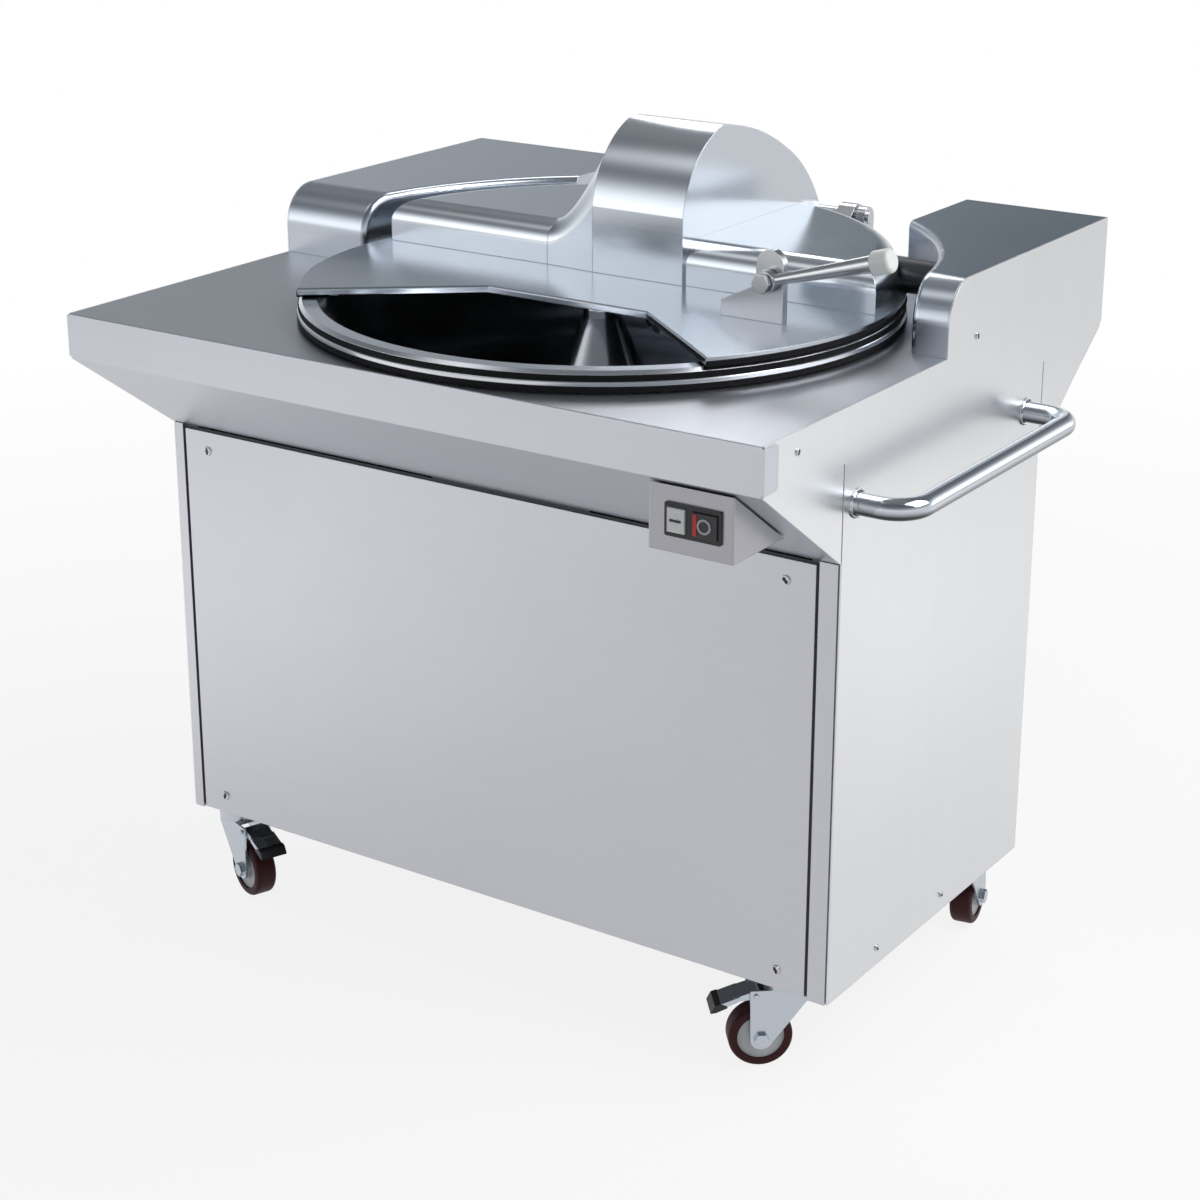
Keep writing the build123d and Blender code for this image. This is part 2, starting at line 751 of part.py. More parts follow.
def pulley(center_y, center_z, radius, bore):
    """Two-groove belt pulley across the machine at the belt plane."""
    with BuildPart() as wheel:
        with BuildSketch(yz_plane(pulley_x0)):
            with Locations((center_y, center_z)):
                Circle(radius)
                Circle(bore, mode=Mode.SUBTRACT)
        extrude(amount=pulley_w)
        for side in (-1, 1):
            with BuildSketch(yz_plane(belt_x + side * belt_pitch / 2 - groove_w / 2)):
                with Locations((center_y, center_z)):
                    Circle(radius + 1)
                    Circle(radius - groove_d, mode=Mode.SUBTRACT)
            extrude(amount=groove_w, mode=Mode.SUBTRACT)
    return wheel


knife_pulley = pulley(shaft_y, shaft_z, belt_pulley_r, shaft_r)
keep(knife_pulley, "knife_pulley")
motor_pulley = pulley(motor_y, motor_z, motor_pulley_r, motor_shaft_r)
keep(motor_pulley, "motor_pulley")

with BuildPart() as drive_belts:
    for side in (-1, 1):
        with BuildSketch(yz_plane(belt_x + side * belt_pitch / 2 - belt_w / 2)):
            for grow, mode in ((0.5, Mode.ADD), (0.4 - groove_d, Mode.SUBTRACT)):
                with BuildSketch(mode=Mode.PRIVATE) as loop:
                    with Locations((shaft_y, shaft_z)):
                        Circle(belt_pulley_r + grow)
                    with Locations((motor_y, motor_z)):
                        Circle(motor_pulley_r + grow)
                    make_hull()
                add(loop.sketch, mode=mode)
        extrude(amount=belt_w)
keep(drive_belts, "drive_belts")

motor_x1 = pulley_x0 - 42.0
motor_x0 = motor_x1 - 220.0

with BuildPart() as main_motor:
    with BuildSketch(yz_plane(motor_x0)):
        with Locations((motor_y, motor_z)):
            Circle(motor_r)
    extrude(amount=motor_x1 - motor_x0)
    chamfer(main_motor.edges().filter_by(GeomType.CIRCLE), 8)
    fin_depth = 5.0
    with BuildSketch(yz_plane(motor_x0 + 40)):
        with Locations((motor_y, motor_z)):
            Circle(motor_r + 1)
            Circle(motor_r - fin_depth, mode=Mode.SUBTRACT)
            with PolarLocations(motor_r - 1, 24):
                Rectangle(2 * fin_depth, 9, mode=Mode.SUBTRACT)
    extrude(amount=motor_x1 - motor_x0 - 80, mode=Mode.SUBTRACT)
    foot_z = motor_plate_z + plate_t
    for x in (motor_x0 + 50, motor_x1 - 80):
        block(x, x + 30, motor_y - 85, motor_y + 85, foot_z, foot_z + 10)
        for side in (-1, 1):
            y = motor_y + side * 50
            block(x, x + 30, y - 8, y + 8, foot_z, motor_z - 40)
    block(motor_x0 + 60, motor_x1 - 80, motor_y - 40, motor_y + 40, motor_z + motor_r - 12, motor_z + motor_r + 28)
    with Locations(Plane(origin=(motor_x1, motor_y, motor_z), z_dir=(1, 0, 0))):
        Hole(motor_shaft_r + fit, depth=120)
keep(main_motor, "main_motor")

with BuildPart() as motor_shaft:
    with BuildSketch(yz_plane(motor_x1 - 100)):
        with Locations((motor_y, motor_z)):
            Circle(motor_shaft_r)
    extrude(amount=pulley_x0 + pulley_w - motor_x1 + 100)
keep(motor_shaft, "motor_shaft")

# Lid: flat plate open at the front and under the deck
slot_half = sleeve_r + slot_clear
hinge_tab_half = 130.0
ledge = 6.0
mouth_y = -90.0
mouth_left_x = -98.0
mouth_right_x = 120.0
mouth_left_angle = 37.85
mouth_right_angle = 39.05
with BuildPart() as lid_plate:
    with BuildSketch(Plane.XY.offset(lid_z)):
        Circle(lid_r)
        rect(-hinge_tab_half, hinge_tab_half, lid_r - 52, hinge_y - 17)
        with BuildLine():
            Polyline(
                (mouth_left_x, mouth_y),
                (mouth_right_x, mouth_y),
                (lid_r, mouth_y - (lid_r - mouth_right_x) * tan(radians(mouth_right_angle))),
                (lid_r, -2 * lid_r),
                (-lid_r, -2 * lid_r),
                (-lid_r, mouth_y - (lid_r + mouth_left_x) * tan(radians(mouth_left_angle))),
                close=True,
            )
        make_face(mode=Mode.SUBTRACT)
        with BuildSketch(mode=Mode.PRIVATE) as well:
            Circle(deck_r - ledge)
            rect(-lid_r, lid_r, deck_y + ledge, lid_r, Mode.INTERSECT)
        add(well.sketch, mode=Mode.SUBTRACT)
        rect(deck_r - 91, lid_r + 1, shaft_y - slot_half, shaft_y + slot_half, Mode.SUBTRACT)
    extrude(amount=lid_t)
    front_edges = lid_plate.edges().group_by(Axis.Z)[-1].filter_by_position(Axis.Y, -lid_r, mouth_y + 10)
    fillet(front_edges, 2.5)
keep(lid_plate, "lid_plate")


def deck_half(x0, x1):
    """One side of the raised deck: a thin cover with rounded crown, open below and toward the hood."""
    with BuildPart() as cover:
        with BuildSketch(Plane.XY.offset(top_floor)):
            Circle(deck_r)
            rect(-lid_r, lid_r, deck_y, lid_r, Mode.INTERSECT)
        extrude(amount=deck_h)
        fillet(cover.edges().group_by(Axis.Z)[-1], deck_round)
        block(x0, x1, 0, lid_r, top_floor, deck_z + 1, Mode.INTERSECT)
        floor_face = cover.faces().filter_by(Axis.Z).sort_by(Axis.Z)[0]
        ends = cover.faces().filter_by(Axis.X).sort_by(Axis.X)
        offset(amount=-sheet, openings=[floor_face, ends[-1] if x1 < 0 else ends[0]])
    return cover


def shaft_slot(x0, x1):
    """Open-bottomed slot that lets the lid drop over the bearing sleeve."""
    with BuildSketch(yz_plane(x0), mode=Mode.PRIVATE) as slot:
        with Locations((shaft_y, shaft_z)):
            Circle(slot_half)
        rect(shaft_y - slot_half, shaft_y + slot_half, lid_z - 2, shaft_z)
    extrude(slot.sketch, amount=x1 - x0, mode=Mode.SUBTRACT)


lid_deck_left = deck_half(-lid_r, fairing_x)
keep(lid_deck_left, "lid_deck_left")
with BuildPart() as lid_deck_right:
    add(deck_half(hood_x1, lid_r).part)
    shaft_slot(deck_r - 91, lid_r)
keep(lid_deck_right, "lid_deck_right")


def bulged(start, end, bulge):
    """Point on the arc between two points that stands the bulge out from the middle of its chord."""
    run, rise = end[0] - start[0], end[1] - start[1]
    chord = sqrt(run**2 + rise**2)
    return ((start[0] + end[0] - 2 * bulge * rise / chord) / 2, (start[1] + end[1] + 2 * bulge * run / chord) / 2)


# Hood across the machine: brow, crest, shoulder and tail, set back from its front and above the lid plate
hood_back_y = lid_r - 1.0
brow_h = 79.0
brow_bulge = 20.0
crest_back = 86.0
crest_h = 174.0
roof_bulge = 8.4
shoulder_back = 234.0
shoulder_h = 125.0
tail_bulge = 9.2
tail_h = 40.0


def hood_points(inset):
    """Corner and arc points of the hood across the machine, front foot to back foot, moved in by the sheet."""
    front, back = hood_y + inset, hood_back_y - inset
    brow = (front, top_floor + brow_h)
    crest = (hood_y + crest_back, top_floor + crest_h - inset)
    shoulder = (hood_y + shoulder_back - inset / 2, top_floor + shoulder_h - inset)
    tail = (back, top_floor + tail_h)
    return [
        (front, top_floor),
        brow,
        bulged(brow, crest, brow_bulge),
        crest,
        bulged(crest, shoulder, roof_bulge),
        shoulder,
        bulged(shoulder, tail, tail_bulge),
        tail,
        (back, top_floor),
    ]


def deck_points(inset):
    """The same points on the deck's cross-section where the fairing meets it."""
    front, back = deck_y + inset, sqrt(deck_r**2 - fairing_x**2) - inset
    crown, bend = deck_z - inset, deck_round - inset
    diagonal = bend * (1 - cos(radians(45)))
    return [
        (front, top_floor),
        (front, crown - bend),
        (front + diagonal, crown - diagonal),
        (front + bend, crown),
        ((front + back) / 2, crown),
        (back - bend, crown),
        (back - diagonal, crown - diagonal),
        (back, crown - bend),
        (back, top_floor),
    ]


def cover_outline(points):
    """Closed outline through nine points: foot, crown arc, roof, crown arc, foot and floor."""
    with BuildLine(Plane.XY, mode=Mode.PRIVATE) as outline:
        Line(points[0], points[1])
        ThreePointArc(*points[1:4])
        Spline(*points[3:6])
        ThreePointArc(*points[5:8])
        Line(points[7], points[8])
        Line(points[8], points[0])
    return outline.edges()


with BuildPart() as knife_hood:
    with BuildSketch(yz_plane(hood_x0)):
        make_face(cover_outline(hood_points(0)))
    extrude(amount=hood_x1 - hood_x0)
    with BuildSketch(yz_plane(hood_x0)):
        make_face(cover_outline(hood_points(sheet)))
    extrude(amount=hood_x1 - hood_x0 - sheet, mode=Mode.SUBTRACT)
    shaft_slot(hood_x1 - 2 * sheet, hood_x1 + 1)
keep(knife_hood, "knife_hood")

# Fairing that sweeps up from the deck to the hood
sweep_power = 1.6
sweep_steps = 4
with BuildPart() as hood_fairing:
    for inset, mode in ((0, Mode.ADD), (sheet, Mode.SUBTRACT)):
        for step in range(sweep_steps + 1):
            along = step / sweep_steps
            rise = along**sweep_power
            with BuildSketch(yz_plane(fairing_x + (hood_x0 - fairing_x) * along)):
                section = [
                    (a[0] + (b[0] - a[0]) * rise, a[1] + (b[1] - a[1]) * rise)
                    for a, b in zip(deck_points(inset), hood_points(inset))
                ]
                make_face(cover_outline(section))
        loft(mode=mode)
keep(hood_fairing, "hood_fairing")

# Lid hinge at the rear, in the gap between the housings
arm_x0, arm_x1 = 98.0, 121.0
post_gap = 3.0
post_w = 12.0
with BuildPart() as lid_hinge_arms:
    for x in (-arm_x1, arm_x0):
        with BuildSketch(yz_plane(x)):
            with BuildSketch(mode=Mode.PRIVATE) as arm:
                with Locations((hinge_y, hinge_z)):
                    Circle(15)
                rect(hinge_y - 41, hinge_y - 17, top_floor, top_floor + 5)
                make_hull()
            add(arm.sketch)
            with Locations((hinge_y, hinge_z)):
                Circle(pin_r + fit, mode=Mode.SUBTRACT)
        extrude(amount=arm_x1 - arm_x0)
keep(lid_hinge_arms, "lid_hinge_arms")

with BuildPart() as lid_hinge_posts:
    for x in (-arm_x1 - post_gap - post_w, arm_x1 + post_gap):
        with BuildSketch(yz_plane(x)):
            with Locations((hinge_y, hinge_z)):
                Circle(13)
            rect(hinge_y - 13, hinge_y + 13, table_z, hinge_z)
        extrude(amount=post_w)
        block(x - 8, x + post_w + 8, hinge_y - 22, hinge_y + 22, table_z, table_z + 5)
    with BuildSketch(yz_plane(-arm_x1 - post_gap - post_w - 3)):
        with Locations((hinge_y, hinge_z)):
            Circle(pin_r)
    extrude(amount=2 * (arm_x1 + post_gap + post_w + 3))
keep(lid_hinge_posts, "lid_hinge_posts")

# Lug bracket and lever on the right front of the lid
lug_x = 258.0
lug_y = -52.0
lug_t = 10.0
lug_half = 17.0
bolt_z = top_floor + 47.0
bolt_r = 6.0
gusset_x = 197.0
with BuildPart() as lid_lug:
    with BuildSketch(xz_plane(lug_y + lug_t / 2)):
        with Locations((lug_x, bolt_z + lug_half)):
            Circle(lug_half)
        rect(lug_x - lug_half, lug_x + lug_half, top_floor, bolt_z + lug_half)
        with BuildLine():
            Polyline(
                (gusset_x, top_floor),
                (gusset_x, top_floor + 18),
                (lug_x - lug_half, top_floor + 40),
                (lug_x, top_floor + 40),
                (lug_x, top_floor),
                close=True,
            )
        make_face()
    extrude(amount=lug_t)
    with BuildSketch(xz_plane(lug_y + lug_t / 2)):
        with Locations((lug_x, bolt_z)):
            Circle(bolt_r)
    extrude(amount=lug_t + 20)
    with BuildSketch(xz_plane(lug_y - lug_t / 2 - 15)):
        with Locations((lug_x, bolt_z)):
            RegularPolygon(11, 6)
    extrude(amount=6)
keep(lid_lug, "lid_lug")

lever_tilt = 16.0
lever_len = 135.0
lever_y = lug_y - lug_t / 2 - 7.5
lever_frame = Plane(
    origin=(lug_x, lever_y, bolt_z),
    x_dir=(cos(radians(lever_tilt)), 0, sin(radians(lever_tilt))),
    z_dir=(0, -1, 0),
)
with BuildPart() as lid_lever:
    with BuildSketch(lever_frame.offset(-6)):
        Circle(13)
    extrude(amount=12)
    with BuildSketch(Plane(origin=lever_frame.from_local_coords((8, 0, 0)), z_dir=lever_frame.x_dir)):
        Circle(6)
    with BuildSketch(Plane(origin=lever_frame.from_local_coords((lever_len, 0, 0)), z_dir=lever_frame.x_dir)):
        Circle(9.5)
    loft()
    with BuildSketch(lever_frame.offset(-8)):
        Circle(bolt_r + fit)
    extrude(amount=16, mode=Mode.SUBTRACT)
keep(lid_lever, "lid_lever")

knob_r = 13.5
with BuildPart() as lever_knob:
    with BuildSketch(Plane(origin=lever_frame.from_local_coords((lever_len, 0, 0)), z_dir=lever_frame.x_dir)):
        Circle(knob_r)
    extrude(amount=24)
    fillet(lever_knob.edges(), 4)
keep(lever_knob, "lever_knob")

# Small rest block under the left front corner of the lid
rest_inset = 39.6
rest_angle = 212.3
with BuildPart() as lid_rest_block:
    rest_x, rest_y = cos(radians(rest_angle)), sin(radians(rest_angle))
    rest_origin = ((lid_r - rest_inset) * rest_x, (lid_r - rest_inset) * rest_y, lid_z)
    with Locations(Plane(origin=rest_origin, x_dir=(-rest_x, -rest_y, 0), z_dir=(0, 0, -1))):
        Box(10, 14, 9, align=(Align.CENTER, Align.CENTER, Align.MIN))
keep(lid_rest_block, "lid_rest_block")

# Castors: swivelling fork with its stem, wheel and brake pedal
def castor_plane(x, y, angle):
    """Plane on the floor under a castor stem, local x pointing away from the trailing wheel."""
    return Plane(origin=(x, y, 0), x_dir=(cos(radians(angle)), sin(radians(angle)), 0), z_dir=(0, 0, 1))


def side_plane(base, offset_y):
    """Upright plane through a castor, moved sideways along its axle."""
    return Plane(origin=base.from_local_coords((0, offset_y, 0)), x_dir=base.x_dir, z_dir=-base.y_dir)


pedal_pin_x = -37.0
pedal_pin_z = fork_top - 7.0
pedal_pin_r = 3.0
race_top = plate_z0 - 2.0
for name, (x, y, angle) in castors.items():
    base = castor_plane(x, y, angle)
    with BuildPart() as castor_fork:
        for side in (-1, 1):
            y0 = side * fork_inner / 2 + (fork_sheet if side > 0 else 0)
            with BuildSketch(side_plane(base, y0)):
                with BuildSketch(mode=Mode.PRIVATE) as cheek_plate:
                    with Locations((-trail, wheel_r)):
                        Circle(13)
                    rect(-44, 24, fork_top - 12, fork_top)
                    make_hull()
                add(cheek_plate.sketch)
                with Locations((pedal_pin_x, pedal_pin_z)):
                    Circle(pedal_pin_r + fit, mode=Mode.SUBTRACT)
            extrude(amount=fork_sheet)
        with BuildSketch(base.offset(fork_top - fork_sheet)):
            rect(-26, 24, -fork_inner / 2 - fork_sheet, fork_inner / 2 + fork_sheet)
        extrude(amount=fork_sheet)
        with BuildSketch(base.offset(fork_top)):
            Circle(26)
        extrude(amount=race_top - fork_top)
        with BuildSketch(base.offset(race_top)):
            Circle(stem_r)
        extrude(amount=frame_bottom - race_top)
        with BuildSketch(side_plane(base, fork_inner / 2 + fork_sheet + 4)):
            with Locations((-trail, wheel_r)):
                Circle(axle_r)
        extrude(amount=fork_inner + 2 * fork_sheet + 8)
        for y0 in (fork_inner / 2 + fork_sheet + 5, -fork_inner / 2 - fork_sheet):
            with BuildSketch(side_plane(base, y0)):
                with Locations((-trail, wheel_r)):
                    RegularPolygon(9, 6)
            extrude(amount=5)
    keep(castor_fork, f"castor_fork_{name}")
    with BuildPart() as tyre:
        with BuildSketch(side_plane(base, wheel_w / 2)):
            with Locations((-trail, wheel_r)):
                Circle(wheel_r)
                Circle(wheel_r - 10, mode=Mode.SUBTRACT)
        extrude(amount=wheel_w)
        fillet(tyre.edges().filter_by(GeomType.CIRCLE).filter_by(lambda e: e.radius > wheel_r - 1), 5)
    keep(tyre, f"castor_tyre_{name}")
    with BuildPart() as core:
        for width, outer in ((wheel_w - 6, wheel_r - 10), (fork_inner - 1, 13)):
            with BuildSketch(side_plane(base, width / 2)):
                with Locations((-trail, wheel_r)):
                    Circle(outer)
            extrude(amount=width)
        with BuildSketch(side_plane(base, fork_inner)):
            with Locations((-trail, wheel_r)):
                Circle(axle_r + fit)
        extrude(amount=2 * fork_inner, mode=Mode.SUBTRACT)
    keep(core, f"castor_core_{name}")
    with BuildPart() as brake_pedal:
        with BuildSketch(side_plane(base, fork_inner / 2 - 1)):
            with BuildSketch(mode=Mode.PRIVATE) as tongue:
                with Locations((pedal_pin_x, pedal_pin_z)):
                    Circle(5)
                with Locations((pedal_pin_x - 24, pedal_pin_z - 5)):
                    Circle(2.5)
                make_hull()
            add(tongue.sketch)
        extrude(amount=fork_inner - 2)
        with BuildSketch(side_plane(base, 17)):
            with BuildLine():
                pad_corners = [(-19, -1), (-47, -11), (-51, -19), (-46, -18), (-20, -7)]
                Polyline([(pedal_pin_x + x, pedal_pin_z + z) for x, z in pad_corners], close=True)
            make_face()
        extrude(amount=34)
        with BuildSketch(side_plane(base, fork_inner / 2 + fork_sheet + 2)):
            with Locations((pedal_pin_x, pedal_pin_z)):
                Circle(pedal_pin_r)
        extrude(amount=fork_inner + 2 * fork_sheet + 4)
    keep(brake_pedal, f"brake_pedal_{name}")
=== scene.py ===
import json
import math

import bmesh
import bpy
from mathutils import Matrix, Vector

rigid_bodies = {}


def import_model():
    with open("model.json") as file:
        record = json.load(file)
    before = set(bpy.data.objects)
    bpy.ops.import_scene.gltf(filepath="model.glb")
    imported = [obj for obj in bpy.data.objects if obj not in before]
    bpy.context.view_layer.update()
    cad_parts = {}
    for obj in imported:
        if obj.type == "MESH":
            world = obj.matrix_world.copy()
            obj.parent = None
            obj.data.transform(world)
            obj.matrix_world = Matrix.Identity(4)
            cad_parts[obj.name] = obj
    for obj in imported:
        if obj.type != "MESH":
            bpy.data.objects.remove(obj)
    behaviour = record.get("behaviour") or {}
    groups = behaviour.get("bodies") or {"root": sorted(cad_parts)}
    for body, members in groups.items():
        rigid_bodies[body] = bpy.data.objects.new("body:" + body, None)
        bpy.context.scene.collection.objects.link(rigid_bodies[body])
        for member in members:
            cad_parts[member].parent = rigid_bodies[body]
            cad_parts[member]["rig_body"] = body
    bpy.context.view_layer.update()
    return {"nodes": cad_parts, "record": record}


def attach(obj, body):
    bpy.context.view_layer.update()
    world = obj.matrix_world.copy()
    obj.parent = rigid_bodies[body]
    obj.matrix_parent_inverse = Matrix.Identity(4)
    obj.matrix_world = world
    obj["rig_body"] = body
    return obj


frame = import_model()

MM = 0.001
nodes = frame["nodes"]

# Camera at the photograph's place. The photograph's lens was shifted, this one is tilted down
# instead and drawn close round the machine.
CAMERA_AT = Vector((1.6279, -2.4085, 1.5441))
CAMERA_YAW = math.radians(34.1)
CAMERA_PITCH = math.radians(19.27)
CAMERA_LENS = 76.8
CAMERA_SENSOR = 36.0
CAMERA_SHIFT = -0.05
CAMERA_CLIP_END = 100


def make_camera():
    data = bpy.data.cameras.new("camera")
    data.sensor_width = CAMERA_SENSOR
    data.lens = CAMERA_LENS
    data.shift_y = CAMERA_SHIFT
    data.clip_end = CAMERA_CLIP_END
    camera = bpy.data.objects.new("camera", data)
    bpy.context.scene.collection.objects.link(camera)
    camera.location = CAMERA_AT
    camera.rotation_euler = (math.pi / 2 - CAMERA_PITCH, 0, CAMERA_YAW)
    bpy.context.scene.camera = camera


# Node helpers
def new_material(name):
    material = bpy.data.materials.new(name)
    material.use_nodes = True
    tree = material.node_tree
    tree.nodes.clear()
    out = tree.nodes.new("ShaderNodeOutputMaterial")
    return material, tree, out


def new_surface(name):
    material, tree, out = new_material(name)
    shader = tree.nodes.new("ShaderNodeBsdfPrincipled")
    tree.links.new(shader.outputs[0], out.inputs["Surface"])
    return material, tree, shader


def math_node(tree, operation, a, b=0.0, clamp=False):
    node = tree.nodes.new("ShaderNodeMath")
    node.operation = operation
    node.use_clamp = clamp
    for socket, value in zip(node.inputs, (a, b)):
        if isinstance(value, (int, float)):
            socket.default_value = value
        else:
            tree.links.new(value, socket)
    return node.outputs[0]


def vector_math(tree, operation, a, b, out="Vector"):
    node = tree.nodes.new("ShaderNodeVectorMath")
    node.operation = operation
    for socket, value in zip(node.inputs, (a, b)):
        if isinstance(value, (tuple, Vector)):
            socket.default_value = value
        else:
            tree.links.new(value, socket)
    return node.outputs[out]


def map_range(tree, value, low, high, to_low, to_high):
    node = tree.nodes.new("ShaderNodeMapRange")
    tree.links.new(value, node.inputs["Value"])
    limits = {"From Min": low, "From Max": high, "To Min": to_low, "To Max": to_high}
    for name, number in limits.items():
        node.inputs[name].default_value = number
    return node.outputs["Result"]


def noise(tree, vector, scale, detail=2.0, rough=0.5):
    node = tree.nodes.new("ShaderNodeTexNoise")
    node.inputs["Scale"].default_value = scale
    node.inputs["Detail"].default_value = detail
    node.inputs["Roughness"].default_value = rough
    tree.links.new(vector, node.inputs["Vector"])
    return node.outputs["Fac"]


def object_coords(tree):
    return tree.nodes.new("ShaderNodeTexCoord").outputs["Object"]


def stretched(tree, vector, scale):
    node = tree.nodes.new("ShaderNodeMapping")
    node.inputs["Scale"].default_value = scale
    tree.links.new(vector, node.inputs["Vector"])
    return node.outputs[0]


def turned_coords(tree, vector, axis, centre):
    """Coordinates that are radius from and length along an axis, for lathe marks."""
    node = tree.nodes.new("ShaderNodeSeparateXYZ")
    tree.links.new(vector, node.inputs[0])
    others = [i for i in range(3) if i != axis]
    u = math_node(tree, "SUBTRACT", node.outputs[others[0]], centre[0])
    v = math_node(tree, "SUBTRACT", node.outputs[others[1]], centre[1])
    u_square = math_node(tree, "MULTIPLY", u, u)
    v_square = math_node(tree, "MULTIPLY", v, v)
    square = math_node(tree, "ADD", u_square, v_square)
    combine = tree.nodes.new("ShaderNodeCombineXYZ")
    tree.links.new(math_node(tree, "SQRT", square), combine.inputs[0])
    tree.links.new(node.outputs[axis], combine.inputs[1])
    return combine.outputs[0]


def mixed_colour(tree, factor, dark, light):
    node = tree.nodes.new("ShaderNodeMix")
    node.data_type = "RGBA"
    tree.links.new(factor, node.inputs["Factor"])
    node.inputs["A"].default_value = (*dark, 1)
    node.inputs["B"].default_value = (*light, 1)
    return node.outputs["Result"]


def shades(colour, change):
    """A colour made darker and made lighter by a share of itself."""
    dark = tuple(c * (1 - change) for c in colour)
    light = tuple(min(1.0, c * (1 + change)) for c in colour)
    return dark, light


# Range that holds most of a cloudy noise, and most of the finer streaks
CLOUDY = (0.3, 0.7)
STREAKY = (0.2, 0.8)
RELIEF_HEIGHT = 0.0003


def relief(tree, height, strength, normal=None):
    node = tree.nodes.new("ShaderNodeBump")
    node.inputs["Strength"].default_value = strength
    node.inputs["Distance"].default_value = RELIEF_HEIGHT
    tree.links.new(height, node.inputs["Height"])
    if normal is not None:
        tree.links.new(normal, node.inputs["Normal"])
    return node.outputs[0]


# Metal, brushed along one axis or turned round one. SCALE is a noise's scale, DETAIL its detail
# and roughness, and ROUGH the change that it makes in the metal's roughness.
ALONG_GRAIN = 1.2
ACROSS_GRAIN = 420
GRAIN = {
    "x": (ALONG_GRAIN, ACROSS_GRAIN, ACROSS_GRAIN),
    "y": (ACROSS_GRAIN, ALONG_GRAIN, ACROSS_GRAIN),
    "z": (ACROSS_GRAIN, ACROSS_GRAIN, ALONG_GRAIN),
}
LATHE_SCALE = 260.0
STREAK_DETAIL = (3.0, 0.6)
STREAK_TONE = 0.03
STREAK_ROUGH = (-0.02, 0.025)
STREAK_RELIEF = 0.05
CLOUD_SCALE = 2.6
SMUDGE_SCALE = 14.0
SMUDGE_DETAIL = (4.0, 0.6)
SMUDGE_ROUGH = (-0.012, 0.018)
# Painted shade on whatever faces down fades in between these upward parts of the normal, down to
# this share of the colour
UNDERSIDE = (-0.5, 0.1)
UNDERSIDE_SHADE = 0.06
EDGE_SAMPLES = 4


def steel(name, colour, rough, grain, centre=(0.0, 0.0), streak=1.0, soft_edge=0.0012,
          painted_underside_shade=False):
    """Streaks in tone, gloss and height, clouds in tone, smudges in gloss, and softened edges. The
    last flag paints shade on whatever faces down, making it darker."""
    material, tree, shader = new_surface(name)
    place = object_coords(tree)
    if grain in GRAIN:
        streaks = noise(tree, stretched(tree, place, GRAIN[grain]), 1.0, *STREAK_DETAIL)
    else:
        lathe = turned_coords(tree, place, "xyz".index(grain[-1]), centre)
        streaks = noise(tree, lathe, LATHE_SCALE, *STREAK_DETAIL)
    clouds = noise(tree, place, CLOUD_SCALE)
    smudges = noise(tree, place, SMUDGE_SCALE, *SMUDGE_DETAIL)

    half_streaks = math_node(tree, "MULTIPLY", streaks, 0.5)
    half_clouds = math_node(tree, "MULTIPLY", clouds, 0.5)
    tone = math_node(tree, "ADD", half_streaks, half_clouds)
    dark, light = shades(colour, STREAK_TONE * streak)
    surface = mixed_colour(tree, map_range(tree, tone, *CLOUDY, 0, 1), dark, light)
    # Painted shade: whatever faces down is darkened
    if painted_underside_shade:
        normal = tree.nodes.new("ShaderNodeNewGeometry").outputs["Normal"]
        up = vector_math(tree, "DOT_PRODUCT", normal, (0.0, 0.0, 1.0), "Value")
        shade = map_range(tree, up, *UNDERSIDE, UNDERSIDE_SHADE, 1.0)
        surface = vector_math(tree, "MULTIPLY", surface, shade)
    tree.links.new(surface, shader.inputs["Base Color"])

    streak_rough = map_range(tree, streaks, *STREAKY, *(limit * streak for limit in STREAK_ROUGH))
    smudge_rough = map_range(tree, smudges, *CLOUDY, *SMUDGE_ROUGH)
    spread = math_node(tree, "ADD", streak_rough, smudge_rough)
    roughness = math_node(tree, "ADD", spread, rough, clamp=True)
    tree.links.new(roughness, shader.inputs["Roughness"])
    shader.inputs["Metallic"].default_value = 1.0

    edge = tree.nodes.new("ShaderNodeBevel")
    edge.samples = EDGE_SAMPLES
    edge.inputs["Radius"].default_value = soft_edge
    bumps = relief(tree, streaks, STREAK_RELIEF * streak, edge.outputs[0])
    tree.links.new(bumps, shader.inputs["Normal"])
    return material


# Moulded plastic, rubber, cast iron or paint
PLASTIC_CLOUDS = (22.0, 3.0)
PLASTIC_ROUGH = (-0.04, 0.06)


def plastic(name, colour, rough, mottle=0.06, bump=0.08, grain_scale=900.0, sheen=0.5):
    """Fine grain in height, slow change in tone and gloss."""
    material, tree, shader = new_surface(name)
    place = object_coords(tree)
    clouds = noise(tree, place, *PLASTIC_CLOUDS)
    fine = noise(tree, place, grain_scale)
    dark, light = shades(colour, mottle)
    tree.links.new(mixed_colour(tree, clouds, dark, light), shader.inputs["Base Color"])
    gloss = map_range(tree, clouds, *CLOUDY, *(rough + limit for limit in PLASTIC_ROUGH))
    tree.links.new(gloss, shader.inputs["Roughness"])
    shader.inputs["Specular IOR Level"].default_value = sheen
    tree.links.new(relief(tree, fine, bump), shader.inputs["Normal"])
    return material


